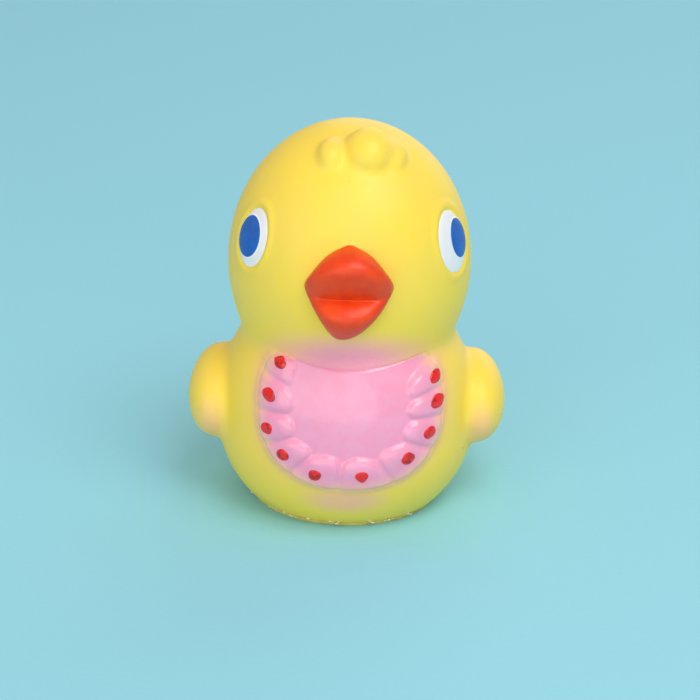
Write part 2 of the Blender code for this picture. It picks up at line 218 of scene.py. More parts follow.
# Beak rows from the top rim to the bottom rim: rim height above the head's middle, rim half-width,
# ridge height, and how far the ridge stands in front of the head. None keeps it on the skin.
BEAK_ROWS = (
    (0.0113, 0.0008, 0.0115, None),
    (0.0104, 0.0030, 0.0113, 0.0006),
    (0.0093, 0.0045, 0.0111, 0.0018),
    (0.0080, 0.0057, 0.0107, 0.0031),
    (0.0064, 0.0069, 0.0100, 0.0042),
    (0.0048, 0.0080, 0.0091, 0.0049),
    (0.0036, 0.0088, 0.0078, 0.0052),
    (0.0030, 0.0090, 0.0060, 0.0047),
    (0.0023, 0.0089, 0.0038, 0.0037),
    (0.0017, 0.0087, 0.0022, 0.0029),
    (0.0013, 0.0085, 0.0014, 0.0020),
    (0.0007, 0.0082, 0.0009, 0.0034),
    (-0.0004, 0.0076, -0.0004, 0.0052),
    (-0.0014, 0.0069, -0.0018, 0.0061),
    (-0.0028, 0.0059, -0.0036, 0.0056),
    (-0.0044, 0.0046, -0.0056, 0.0036),
    (-0.0060, 0.0033, -0.0072, 0.0014),
    (-0.0073, 0.0021, -0.0079, 0.0003),
    (-0.0082, 0.0010, -0.0083, None),
)
MOUTH_ROW = 10
BEAK_LEAN = 0.0013
BEAK_LEAN_SPAN = 0.0093
BEAK_MIDDLE = 0.0015
BEAK_HALF_TALL = 0.0098
BEAK_COLUMNS = 14
LIP_FULLNESS = 0.8
MOUTH_FULLNESS = 0.45
BUMP_UNDER_COAT = 0.0009
BUMP_ROOT = 0.004


def beak_form(name, lift):
    """The beak's outside as a grid of rows from top to bottom, grown or shrunk by a lift."""
    bpy.ops.object.select_all(action='DESELECT')
    bpy.ops.mesh.primitive_grid_add(
        x_subdivisions=BEAK_COLUMNS, y_subdivisions=len(BEAK_ROWS) - 1, size=2.0)
    piece = bpy.context.object
    piece.name = name
    for vertex in piece.data.vertices:
        row = round((1 - vertex.co.y) / 2 * (len(BEAK_ROWS) - 1))
        turn = vertex.co.x * math.pi / 2
        rim_up, half_width, ridge_up, stand = BEAK_ROWS[row]
        z = HEAD_Z + rim_up + min(lift, 0.0) * (rim_up - BEAK_MIDDLE) / BEAK_HALF_TALL
        half_width = max(0.0002, half_width + min(lift, 0.0))
        rim = off_skin(angle_at(half_width * math.copysign(1.0, turn), z), z, min(lift, 0.0) / 2)
        if stand is None:
            top = off_skin(0.0, HEAD_Z + ridge_up, lift)
        else:
            top = Vector((0.0, AXIS_Y - HEAD_FRONT - stand - lift, HEAD_Z + ridge_up))
        share = max(0.0, math.cos(turn)) ** (MOUTH_FULLNESS if row == MOUTH_ROW else LIP_FULLNESS)
        lean = BEAK_LEAN * max(0.0, BEAK_ROWS[MOUTH_ROW][0] - rim_up) ** 2 / BEAK_LEAN_SPAN ** 2
        vertex.co = (abs(rim.x) * math.sin(turn) - lean, rim.y + (top.y - rim.y) * share,
                     rim.z + (top.z - rim.z) * share)
    return piece


def close_back(piece, depth):
    """Runs the rim of an open form back into the head and fills it."""
    pick(piece)
    bpy.ops.object.mode_set(mode='EDIT')
    bpy.ops.mesh.select_all(action='SELECT')
    bpy.ops.mesh.region_to_loop()
    bpy.ops.mesh.extrude_edges_move(TRANSFORM_OT_translate={"value": (0.0, depth, 0.0)})
    bpy.ops.mesh.edge_face_add()
    bpy.ops.mesh.select_all(action='SELECT')
    bpy.ops.mesh.normals_make_consistent(inside=False)
    bpy.ops.object.mode_set(mode='OBJECT')


# The tuft is softer than the beak's bump, so it is smoothed again by itself.
FACE_CLAY = 0.00056
FACE_SMOOTHING = 6
TUFT_SMOOTHING = 14
TUFT_FOOT_Z = 0.070
beak_bump = beak_form("beak_bump", -BUMP_UNDER_COAT)
close_back(beak_bump, BUMP_ROOT)
join(skin, tuft + [beak_bump])
modify(skin, 'REMESH', mode='VOXEL', voxel_size=FACE_CLAY)
modify(skin, 'SMOOTH', factor=0.5, iterations=FACE_SMOOTHING)
near_tuft = skin.vertex_groups.new(name="tuft")
near_tuft.add([v.index for v in skin.data.vertices if v.co.z > TUFT_FOOT_Z and v.co.y < AXIS_Y], 1.0,
              'REPLACE')
modify(skin, 'SMOOTH', factor=0.5, iterations=TUFT_SMOOTHING, vertex_group="tuft")

# Eye sockets: a shallow bed the size of the white, with a soft raised lip round it.
# The two were painted by eye, so the right one sits wider and larger, and its iris further out.
EYES = {
    "left": {"white": (-56.0, 0.0615, (0.0048, 0.0060)), "iris": (-58.0, 0.0616, (0.0038, 0.0042))},
    "right": {"white": (61.0, 0.0610, (0.0053, 0.0064)), "iris": (65.5, 0.0613, (0.0033, 0.0040))},
}
SOCKET_REACH = 0.012
SOCKET_DEPTH = 0.00030
SOCKET_EDGE = 1.02
SOCKET_SOFTNESS = 0.025
LIP_RISE = 0.00032
LIP_AT = 1.16
LIP_WIDTH = 0.13
for vertex in skin.data.vertices:
    eye = EYES["left"] if vertex.co.x < 0 else EYES["right"]
    eye_degrees, eye_z, eye_half = eye["white"]
    if abs(vertex.co.z - eye_z) > SOCKET_REACH or vertex.co.y > AXIS_Y:
        continue
    side, front, _ = reach_at(vertex.co.z)
    angle = math.atan2(vertex.co.x / side, (AXIS_Y - vertex.co.y) / front)
    across = (angle - math.radians(eye_degrees)) * side
    spread = math.hypot(across / eye_half[0], (vertex.co.z - eye_z) / eye_half[1])
    bed = -SOCKET_DEPTH / (1 + math.exp((spread - SOCKET_EDGE) / SOCKET_SOFTNESS))
    lip = LIP_RISE * math.exp(-((spread - LIP_AT) / LIP_WIDTH) ** 2)
    vertex.co += (bed + lip) * vertex.normal

# The open foot is trimmed flat, and the air space is cut out of the inside.
AIR_OVERRUN = 0.004
LAND_HEIGHT = 0.0012
pick(skin)
bpy.ops.object.mode_set(mode='EDIT')
bpy.ops.mesh.select_all(action='SELECT')
bpy.ops.mesh.bisect(plane_co=(0.0, 0.0, SEAM_Z), plane_no=(0.0, 0.0, 1.0), use_fill=True, clear_inner=True)
bpy.ops.object.mode_set(mode='OBJECT')
air = egg_form("air_space", SEAM_Z - AIR_OVERRUN, CROWN_Z - WALL, 72, 60, WALL, mouth=SEAM_Z + LAND_HEIGHT)
modify(skin, 'BOOLEAN', operation='DIFFERENCE', object=air, solver='MANIFOLD')
bpy.data.objects.remove(air)
pick(skin)
bpy.ops.object.shade_smooth_by_angle(angle=math.radians(50))


def linear(code):
    """sRGB hex to the linear colour that a shader takes."""
    values = [int(code[i:i + 2], 16) / 255 for i in (0, 2, 4)]
    return [v / 12.92 if v <= 0.04045 else ((v + 0.055) / 1.055) ** 2.4 for v in values] + [1.0]


def add(tree, kind, output, inputs=(), **settings):
    """Adds a node and gives one of its outputs. An input is a socket, an sRGB hex code or a number."""
    node = tree.nodes.new("ShaderNode" + kind)
    for key, value in settings.items():
        setattr(node, key, value)
    for key, value in dict(inputs).items():
        if isinstance(value, bpy.types.NodeSocket):
            tree.links.new(value, node.inputs[key])
        else:
            node.inputs[key].default_value = linear(value) if isinstance(value, str) else value
    return node.outputs[output]


def finish(name, colour, **settings):
    """A material with one Principled shader; settings are its sockets. Returns it, its tree and shader."""
    material = bpy.data.materials.new(name)
    material.use_nodes = True
    tree = material.node_tree
    shader = tree.nodes["Principled BSDF"]
    shader.inputs["Base Color"].default_value = linear(colour)
    for key, value in settings.items():
        shader.inputs[key.replace("_", " ")].default_value = value
    return material, tree, shader


# Cast latex: satin, faintly translucent, so creases glow warmer. Cloudy colour over about 9 mm, a
# fine skin of 0.35 mm grain from the plaster mould, and a few dark specks of mould dust.
yellow, tree, shader = finish("cast_latex_yellow", "FCE14E", Roughness=0.42, Subsurface_Weight=0.12,
                              Subsurface_Scale=0.0012, Specular_IOR_Level=0.42)
shader.inputs["Subsurface Radius"].default_value = (1.0, 0.62, 0.18)
here = add(tree, "TexCoord", "Object")
cloud = add(tree, "TexNoise", "Fac", {"Vector": here, "Scale": 110.0, "Detail": 3.0, "Roughness": 0.5})
speck = add(tree, "TexVoronoi", "Distance", {"Vector": here, "Scale": 120.0})
grain = add(tree, "TexNoise", "Fac", {"Vector": here, "Scale": 2800.0, "Detail": 2.0})
peel = add(tree, "TexNoise", "Fac", {"Vector": here, "Scale": 420.0, "Detail": 1.0})
spray = add(tree, "Attribute", "Fac", attribute_name="pink_spray")
blown = add(tree, "TexNoise", "Fac", {"Vector": here, "Scale": 1500.0, "Detail": 1.0})
patchy = add(tree, "MapRange", "Result", {"Value": blown, "From Min": 0.25, "From Max": 0.75,
                                          "To Min": 0.95, "To Max": 1.04}, interpolation_type='SMOOTHSTEP')
mist = add(tree, "Math", 0, {0: spray, 1: patchy}, operation='MULTIPLY')
cloudy = add(tree, "MapRange", "Result", {"Value": cloud, "From Min": 0.35, "From Max": 0.65},
             interpolation_type='SMOOTHSTEP')
rubber = add(tree, "Mix", 2, {0: cloudy, 6: "FEDD4E", 7: "FDDB58"}, data_type='RGBA')
clean = add(tree, "MapRange", "Result", {"Value": speck, "From Min": 0.014, "From Max": 0.022},
            interpolation_type='SMOOTHSTEP')
rubber = add(tree, "Mix", 2, {0: clean, 6: "9A8030", 7: rubber}, data_type='RGBA')
sprayed = add(tree, "Mix", 2, {0: mist, 6: rubber, 7: "FFA2BA"}, data_type='RGBA')
satin = add(tree, "MapRange", "Result", {"Value": peel, "From Min": 0.3, "From Max": 0.7,
                                         "To Min": 0.38, "To Max": 0.47}, interpolation_type='SMOOTHSTEP')
relief = add(tree, "Math", 0, {0: grain, 1: peel}, operation='ADD')
bump = add(tree, "Bump", "Normal", {"Height": relief, "Strength": 0.10, "Distance": 0.0002})
tree.links.new(sprayed, shader.inputs["Base Color"])
tree.links.new(satin, shader.inputs["Roughness"])
tree.links.new(bump, shader.inputs["Normal"])
skin.data.materials.clear()
skin.data.materials.append(yellow)


def settle(piece, body, slot, *nodes):
    """Puts a finished piece on its body and hides the CAD nodes that it replaces.

    The slot, which would name its finish, is not used.
    """
    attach(piece, body)
    if nodes:
        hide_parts(*nodes)
    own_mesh(piece)


# ---------------------------------------------------------------------------
# Bib.
# A ring of ten soft pads moulded round a lower panel on the chest, brushed over in glossy pink
# rubber paint. The coat is thin on the pads' outer edges, where the yellow warms it to peach.

BIB_X = 0.0008
BIB_Z = 0.0275
BIB_HALF_WIDTH = 0.0193
BIB_DROP = 0.0162
BIB_ROUNDNESS = 2.4
BIB_TOP = 0.0371
BIB_TOP_HOLLOW = 6.4
PANEL_HALF_WIDTH = 0.0116
PANEL_DROP = 0.0083
PANEL_UP = 0.0220
PAD_RISE = 0.00125
PAD_SWELL = 0.0030
PAD_SCALLOP = 0.0014
PAD_EDGE = (-0.0011, 0.0016)
PAD_SLOPE = (0.0065, 0.0018)
PAD_OUTER_HEIGHT = 0.74
PAD_SIDE_DROP = 0.16
END_PAD_RUNOUT = 0.0022
CREASE_RUNOUT = 0.0014
GROOVE_DEPTH = 0.50
GROOVE_WIDTH = 0.00065
RING_ENDS = (-136.0, 122.0)
COAT = 0.00010
COAT_DEPTH = 0.0004
RIM_SINK = 0.00045
RIM_TAPER = (-0.0002, 0.0012)
THIN_RIM = 0.0036
# Each dab of paint marks its pad: turn round the bib from straight down, and inset from its edge.
DABS = ((-122.0, 0.0028), (-99.0, 0.0031), (-76.0, 0.0025), (-56.0, 0.0033), (-29.0, 0.0035),
        (12.0, 0.0041), (52.0, 0.0043), (74.0, 0.0031), (94.0, 0.0021), (109.0, 0.0018))
GROOVES = [RING_ENDS[0]] + [(a[0] + b[0]) / 2 for a, b in zip(DABS, DABS[1:])] + [RING_ENDS[1]]


def oval(turn, half_width, drop):
    """Distance from the bib's middle to an oval round it, at a turn from straight down."""
    sine = abs(math.sin(turn)) / half_width
    cosine = abs(math.cos(turn)) / drop
    return (sine ** BIB_ROUNDNESS + cosine ** BIB_ROUNDNESS) ** (-1 / BIB_ROUNDNESS)


def bib_reach(turn):
    """Distance from the bib's middle to its rim, which the neck crease cuts off in a shallow curve."""
    up = -math.cos(turn)
    reach = oval(turn, BIB_HALF_WIDTH, BIB_DROP)
    curve = BIB_TOP_HOLLOW * math.sin(turn) ** 2
    room = up * up - 4 * curve * (BIB_TOP - BIB_Z)
    if up <= 0 or room < 0:
        return reach
    return min(reach, 2 * (BIB_TOP - BIB_Z) / (up + math.sqrt(room)))


def step(value, low, high):
    t = max(0.0, min(1.0, (value - low) / (high - low)))
    return t * t * (3 - 2 * t)


def pad_height(radius, turn):
    """Height of the moulded pads above the skin at a distance and turn from the bib's middle."""
    degrees = math.degrees(turn)
    if not GROOVES[0] < degrees < GROOVES[-1]:
        return 0.0
    k = next(i for i in range(len(GROOVES) - 1) if degrees < GROOVES[i + 1])
    half = (GROOVES[k + 1] - GROOVES[k]) / 2
    place = (degrees - GROOVES[k]) / half - 1
    to_groove = (1 - abs(place)) * math.radians(half) * radius
    edge = oval(turn, BIB_HALF_WIDTH, BIB_DROP) - radius
    panel = oval(turn, PANEL_HALF_WIDTH, PANEL_DROP if abs(degrees) < 90 else PANEL_UP)
    inside = radius - panel - PAD_SCALLOP * place ** 2
    rise = max(0.0, min(1.0, inside / PAD_SWELL))
    shape = math.sqrt(1 - (1 - rise) ** 2) * step(edge, *PAD_EDGE)
    outer = step(radius, panel + PAD_SLOPE[0], panel + PAD_SLOPE[1])
    shape *= PAD_OUTER_HEIGHT + (1 - PAD_OUTER_HEIGHT) * outer
    shape *= 1 - PAD_SIDE_DROP * place ** 2
    end = min(degrees - GROOVES[0], GROOVES[-1] - degrees)
    if end < 2 * half and (k == 0 or k == len(GROOVES) - 2):
        shape *= step(math.radians(end) * radius, 0.0, END_PAD_RUNOUT)
    shape *= 1 - GROOVE_DEPTH * math.exp(-(to_groove / GROOVE_WIDTH) ** 2)
    across = radius * math.sin(turn)
    under_crease = BIB_TOP + BIB_TOP_HOLLOW * across ** 2 - (BIB_Z - radius * math.cos(turn))
    return PAD_RISE * shape * step(under_crease, 0.0, CREASE_RUNOUT)


def bib_point(radius, turn, lift):
    x = BIB_X + radius * math.sin(turn)
    z = BIB_Z - radius * math.cos(turn)
    return off_skin(angle_at(x, z), z, lift)


BIB_SPOKES = 300
BIB_RINGS = 64
bpy.ops.object.select_all(action='DESELECT')
bpy.ops.mesh.primitive_circle_add(vertices=BIB_SPOKES, radius=1.0, fill_type='NOTHING')
bib = bpy.context.object
bib.name = "bib_coat"
bpy.ops.object.mode_set(mode='EDIT')
bpy.ops.mesh.select_all(action='SELECT')
for ring in range(BIB_RINGS, 1, -1):
    shrink = (ring - 1) / ring
    bpy.ops.mesh.extrude_region_move()
    bpy.ops.transform.resize(value=(shrink, shrink, shrink))
bpy.ops.mesh.edge_face_add()
bpy.ops.mesh.poke()
bpy.ops.object.mode_set(mode='OBJECT')
thin = bib.data.attributes.new("thin_paint", 'FLOAT', 'POINT')
for vertex in bib.data.vertices:
    share = min(1.0, math.hypot(vertex.co.x, vertex.co.y))
    turn = math.atan2(vertex.co.x, -vertex.co.y)
    radius = share * bib_reach(turn)
    taper = step(bib_reach(turn) - radius, *RIM_TAPER)
    vertex.co = bib_point(radius, turn, pad_height(radius, turn) + COAT - RIM_SINK * (1 - taper))
    thin.data[vertex.index].value = 1 - step(oval(turn, BIB_HALF_WIDTH, BIB_DROP) - radius, 0.0, THIN_RIM)
if sum(face.normal.y * face.area for face in bib.data.polygons) > 0:
    bib.data.flip_normals()
modify(bib, 'SOLIDIFY', thickness=COAT_DEPTH, offset=-1.0)
bpy.ops.object.shade_smooth_by_angle(angle=math.radians(60))

# Brushed rubber paint: glossy, pink in the body of the stroke and peach where it is thin. It is
# patchy over 3 mm, and the brush leaves ripples 1 mm apart.
pink, tree, shader = finish("pink_rubber_paint", "F99EC2", Roughness=0.22, Subsurface_Weight=0.06,
                            Subsurface_Scale=0.0008, Coat_Weight=0.5, Coat_Roughness=0.08)
here = add(tree, "TexCoord", "Object")
rim = add(tree, "Attribute", "Fac", attribute_name="thin_paint")
patch = add(tree, "TexNoise", "Fac", {"Vector": here, "Scale": 330.0, "Detail": 3.0})
rubbed = add(tree, "MapRange", "Result", {"Value": patch, "From Min": 0.3, "From Max": 0.7,
                                          "To Min": 0.55, "To Max": 1.20}, interpolation_type='SMOOTHSTEP')
worn = add(tree, "Math", 0, {0: rim, 1: rubbed}, operation='MULTIPLY', use_clamp=True)
share = add(tree, "MapRange", "Result", {"Value": patch, "From Min": 0.3, "From Max": 0.7},
            interpolation_type='SMOOTHSTEP')
brushed = add(tree, "Mix", 2, {0: share, 6: "F99DC0", 7: "F8A4C7"}, data_type='RGBA')
thinned = add(tree, "Mix", 2, {0: worn, 6: brushed, 7: "FCC596"}, data_type='RGBA')
stroke = add(tree, "TexNoise", "Fac", {"Vector": here, "Scale": 900.0, "Detail": 2.0})
bump = add(tree, "Bump", "Normal", {"Height": stroke, "Strength": 0.10, "Distance": 0.0003})
tree.links.new(thinned, shader.inputs["Base Color"])
tree.links.new(bump, shader.inputs["Normal"])
bib.data.materials.append(pink)
settle(bib, "toy", "pink_paint", "bib")

# The skin under the paint carries the same pads, and lies 0.4 mm lower there so that it never
# shows through. The pink was blown on first, and drifted up the chin, below the bib and onto the
# wings. Each patch of drift has a strength, a middle, half sizes and a softness.
BED = 4 * COAT
BED_RIM = (0.0001, 0.0010)
BED_TOP_Z = NECK_Z + 0.0025
BED_REACH = 0.002
CHEST_SHARE = 0.75
HALO = 0.45
HALO_REACH = 0.0012
CHIN_MIST = (0.98, (0.0, 0.0375), (0.0215, 0.0098), 0.80)
FOOT_MIST = (0.50, (0.0, 0.0085), (0.012, 0.005), 0.80)
WING_MIST = (0.36, (0.0285, 0.0185), (0.0045, 0.0085), 0.90)


def drift(patch, x, z):
    strength, middle, half, softness = patch
    spread = math.hypot((x - middle[0]) / half[0], (z - middle[1]) / half[1])
    return strength * step(1 - spread, 0.0, softness)


mist = skin.data.attributes.new("pink_spray", 'FLOAT', 'POINT')
for vertex in skin.data.vertices:
    x, y, z = vertex.co
    if y > AXIS_Y:
        continue
    turn = math.atan2(x - BIB_X, BIB_Z - z)
    radius = math.hypot(x - BIB_X, z - BIB_Z)
    away = radius - oval(turn, BIB_HALF_WIDTH, BIB_DROP)
    chest = math.hypot(x / BODY_HALF_WIDTH, y / BODY_FRONT) > CHEST_SHARE
    if z < BED_TOP_Z and away < BED_REACH and chest:
        bed = BED * step(bib_reach(turn) - radius, *BED_RIM)
        vertex.co += (pad_height(radius, turn) - bed) * vertex.normal
    halo = HALO * math.exp(-max(0.0, away) / HALO_REACH) if z < NECK_Z else 0.0
    drifts = (drift(CHIN_MIST, x, z), drift(FOOT_MIST, x, z), drift(WING_MIST, abs(x), z))
    mist.data[vertex.index].value = min(1.0, max(halo, *drifts))
settle(skin, "toy", "yellow_rubber", "body_shell")

# ---------------------------------------------------------------------------
# Bib dots.
# Ten thick dabs of glossy red enamel, put on by hand with a small brush, one to a pad. Each has
# its own lopsided outline, with a tail where the brush lifted off.

DAB_HALF = 0.00126
DAB_RISE = 0.00034
DAB_FLATNESS = 0.7
DAB_WAVES = (2, 3, 4)
DAB_TAILS = {1: (0.40, 12.0), 6: (0.14, -60.0), 9: (0.24, 60.0)}

# Brush enamel: wet gloss, and a darker red in spots of 1 mm where it pooled.
red, tree, shader = finish("red_enamel", "EE0F12", Roughness=0.20, Coat_Weight=0.5, Coat_Roughness=0.04)
here = add(tree, "TexCoord", "Object")
pool = add(tree, "TexNoise", "Fac", {"Vector": here, "Scale": 900.0, "Detail": 2.0})
share = add(tree, "MapRange", "Result", {"Value": pool, "From Min": 0.48, "From Max": 0.66},
            interpolation_type='SMOOTHSTEP')
pooled = add(tree, "Mix", 2, {0: share, 6: "EE0F12", 7: "A8060A"}, data_type='RGBA')
bump = add(tree, "Bump", "Normal", {"Height": pool, "Strength": 0.20, "Distance": 0.0003})
tree.links.new(pooled, shader.inputs["Base Color"])
tree.links.new(bump, shader.inputs["Normal"])

rand = random.Random(11)
for number, (degrees, inset) in enumerate(DABS, 1):
    turn = math.radians(degrees)
    middle = oval(turn, BIB_HALF_WIDTH, BIB_DROP) - inset
    waves = [(n, rand.uniform(0.01, 0.05), rand.uniform(0, 2 * math.pi)) for n in DAB_WAVES]
    size = DAB_HALF * rand.uniform(0.93, 1.07)
    tail_long, tail_way = DAB_TAILS.get(number, (0.0, 0.0))
    dab = ball(f"red_dab_{number:02d}", 36, 20)
    for vertex in dab.data.vertices:
        x, y, z = vertex.co
        way = math.atan2(x, y)
        wobble = 1 + sum(amount * math.sin(n * way + phase) for n, amount, phase in waves)
        wobble += tail_long * max(0.0, math.cos(way - math.radians(tail_way))) ** 6
        across = middle * math.sin(turn) + x * size * wobble
        up = -middle * math.cos(turn) + y * size * wobble
        radius = math.hypot(across, up)
        at = math.atan2(across, -up)
        lift = COAT + pad_height(radius, at) + DAB_RISE * math.copysign(abs(z) ** DAB_FLATNESS, z)
        vertex.co = bib_point(radius, at, lift)
    pick(dab)
    bpy.ops.object.shade_smooth()
    dab.data.materials.append(red)
    settle(dab, "toy", "red_paint", f"bib_dot_{number:02d}")

# ---------------------------------------------------------------------------
# Beak.
# An orange rubber-paint coat over the moulded bump: an upper bill with a blunt ridge, a mouth
# line, and a lower lip that sticks out like a shelf. The coat is thick and wet-looking.

BEAK_COAT = 0.00042
MOUTH_CREASE = 0.25
beak = beak_form("beak_coat", BEAK_COAT)
pick(beak)
crease = beak.data.attributes.new("crease_edge", 'FLOAT', 'EDGE')
across = BEAK_COLUMNS + 1
mouth = set(range((len(BEAK_ROWS) - 1 - MOUTH_ROW) * across, (len(BEAK_ROWS) - MOUTH_ROW) * across))
for edge in beak.data.edges:
    if set(edge.vertices) <= mouth:
        crease.data[edge.index].value = MOUTH_CREASE
modify(beak, 'SUBSURF', levels=3, render_levels=3)
if sum(p.normal.y * p.area for p in beak.data.polygons) > 0:
    beak.data.flip_normals()
modify(beak, 'SOLIDIFY', thickness=COAT_DEPTH, offset=-1.0)
bpy.ops.object.shade_smooth_by_angle(angle=math.radians(60))

# Orange rubber paint: a soft gloss, cloudy over 4 mm, with brush marks 0.5 mm apart that run across.
orange, tree, shader = finish("orange_rubber_paint", "F0501E", Roughness=0.36, Subsurface_Weight=0.05,
                              Subsurface_Scale=0.0008, Specular_IOR_Level=0.38, Coat_Weight=0.06,
                              Coat_Roughness=0.2)
here = add(tree, "TexCoord", "Object")
depth = add(tree, "TexNoise", "Fac", {"Vector": here, "Scale": 260.0, "Detail": 3.0})
brush = add(tree, "Mapping", "Vector", {"Vector": here, "Scale": (500.0, 500.0, 2200.0)})
streak = add(tree, "TexNoise", "Fac", {"Vector": brush, "Scale": 1.0, "Detail": 2.0})
share = add(tree, "MapRange", "Result", {"Value": depth, "From Min": 0.3, "From Max": 0.7},
            interpolation_type='SMOOTHSTEP')
brushed = add(tree, "Mix", 2, {0: share, 6: "F24A10", 7: "E83C0E"}, data_type='RGBA')
wet = add(tree, "MapRange", "Result", {"Value": streak, "From Min": 0.3, "From Max": 0.7,
                                       "To Min": 0.31, "To Max": 0.42}, interpolation_type='SMOOTHSTEP')
bump = add(tree, "Bump", "Normal", {"Height": streak, "Strength": 0.12, "Distance": 0.0003})
tree.links.new(brushed, shader.inputs["Base Color"])
tree.links.new(wet, shader.inputs["Roughness"])
tree.links.new(bump, shader.inputs["Normal"])
beak.data.materials.append(orange)
settle(beak, "face", "orange_paint", "beak")

# ---------------------------------------------------------------------------
# Eyes.
# White enamel ovals in the sockets. On each a slightly brighter ring of fresh white shows round
# a blue oval, which was stamped on last and sits nearer the side of the head.

PEBBLE_FLATNESS = 0.55
WHITE_LIFTS = (-0.0007, 0.00014)
RING_LIFTS = (-0.0003, 0.00024)
IRIS_LIFTS = (-0.0002, 0.00036)

def pebble(name, degrees, z, halves, low, high):
    """A thin oval with rounded edges, wrapped on the skin between a low and a high lift."""
    piece = ball(name, 72, 24)
    side = reach_at(z)[0]
    for vertex in piece.data.vertices:
        x, y, up = vertex.co
        lift = (low + high) / 2 + (high - low) / 2 * math.copysign(abs(up) ** PEBBLE_FLATNESS, up)
        vertex.co = off_skin(math.radians(degrees) + x * halves[0] / side, z + y * halves[1], lift)
    pick(piece)
    bpy.ops.object.shade_smooth()
    return piece


# Three brushed enamels: the bed coat of the white, the fresh white round the iris, and the blue.
# Each is a little cloudy, and the white and the blue show the brush in a faint bump.
ENAMELS = (
    ("white_enamel", "E2E1EC", (0.32, 0.20, 0.15), (300.0, 3.0), ("EDECF3", "F3F2F7"), 0.05),
    ("fresh_white_enamel", "FBFBFF", (0.28, 0.0, 0.03), (500.0, 2.0), ("F7F8FF", "FFFFFF"), 0.0),
    ("blue_enamel", "0A5DBE", (0.34, 0.15, 0.20), (420.0, 3.0), ("0458B6", "0A62C2"), 0.06),
)
enamels = []
for name, colour, (matt, coat, coat_matt), (size, detail), tints, height in ENAMELS:
    enamel, tree, shader = finish(name, colour, Roughness=matt, Coat_Weight=coat, Coat_Roughness=coat_matt)
    here = add(tree, "TexCoord", "Object")
    share = film = add(tree, "TexNoise", "Fac", {"Vector": here, "Scale": size, "Detail": detail})
    if height:
        share = add(tree, "MapRange", "Result", {"Value": film, "From Min": 0.3, "From Max": 0.7},
                    interpolation_type='SMOOTHSTEP')
        bump = add(tree, "Bump", "Normal", {"Height": film, "Strength": height, "Distance": 0.0003})
        tree.links.new(bump, shader.inputs["Normal"])
    cloudy = add(tree, "Mix", 2, {0: share, 6: tints[0], 7: tints[1]}, data_type='RGBA')
    tree.links.new(cloudy, shader.inputs["Base Color"])
    enamels.append(enamel)
white, fresh, blue = enamels

RING = 0.00030
for side, eye in EYES.items():
    degrees, z, halves = eye["white"]
    eyeball = pebble(f"eye_white_coat_{side}", degrees, z, halves, *WHITE_LIFTS)
    eyeball.data.materials.append(white)
    settle(eyeball, "face", "white_paint", f"eye_white_{side}")
    degrees, z, halves = eye["iris"]
    ring = pebble(f"iris_ring_{side}", degrees, z, [half + RING for half in halves], *RING_LIFTS)
    ring.data.materials.append(fresh)
    settle(ring, "face", "white_paint")
    iris = pebble(f"iris_coat_{side}", degrees, z, halves, *IRIS_LIFTS)
    iris.data.materials.append(blue)
    settle(iris, "face", "blue_paint", f"iris_{side}")

# ---------------------------------------------------------------------------
# Base sheet and its glue.
# A flat disc of calendered rubber, 1.2 mm thick, glued under the open foot and trimmed with
# scissors, so its edge wanders a little. Dried crumbs of glue stick out of the seam.

CUP_FLANGE = 0.0028
HOLE_GAP = 0.0003
RINGS = (0.985, 0.8, 0.7, 0.6)
TRIM = 0.00022
OVERHANG = 0.0002
TRIM_WAVES = (3, 5, 9, 14, 23)
SHEET_EDGE = 0.00015
sheet_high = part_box("base_sheet")[1]
hole = (cup_high.x - cup_low.x) / 2 - CUP_FLANGE + HOLE_GAP
bpy.ops.object.select_all(action='DESELECT')
bpy.ops.mesh.primitive_circle_add(vertices=240, radius=1.0, fill_type='NOTHING')
sole = bpy.context.object
sole.name = "base_rubber_sheet"
bpy.ops.object.mode_set(mode='EDIT')
bpy.ops.mesh.select_all(action='SELECT')
for shrink in RINGS:
    bpy.ops.mesh.extrude_region_move()
    bpy.ops.transform.resize(value=(shrink, shrink, shrink))
bpy.ops.object.mode_set(mode='OBJECT')
rand = random.Random(5)
trims = [(n, rand.uniform(0.2, 1.0) / n, rand.uniform(0, 2 * math.pi)) for n in TRIM_WAVES]
inner_share = math.prod(RINGS)
for vertex in sole.data.vertices:
    turn = math.atan2(vertex.co.x, -vertex.co.y)
    share = (math.hypot(vertex.co.x, vertex.co.y) - inner_share) / (1 - inner_share)
    trim = TRIM * sum(amount * math.sin(n * turn + phase) for n, amount, phase in trims)
    edge = on_skin(turn, 0.0) - Vector((0.0, AXIS_Y, 0.0))
    edge *= 1 + (trim + OVERHANG) / edge.length
    rim = Vector((hole * math.sin(turn), -hole * math.cos(turn), 0.0))
    vertex.co = rim.lerp(edge, share) + Vector((0.0, AXIS_Y, sheet_high.z))
if sum(p.normal.z for p in sole.data.polygons) < 0:
    sole.data.flip_normals()
modify(sole, 'SOLIDIFY', thickness=sheet_high.z, offset=-1.0)
modify(sole, 'BEVEL', width=SHEET_EDGE, segments=2, limit_method='ANGLE', angle_limit=math.radians(50))
bpy.ops.object.shade_smooth_by_angle(angle=math.radians(40))

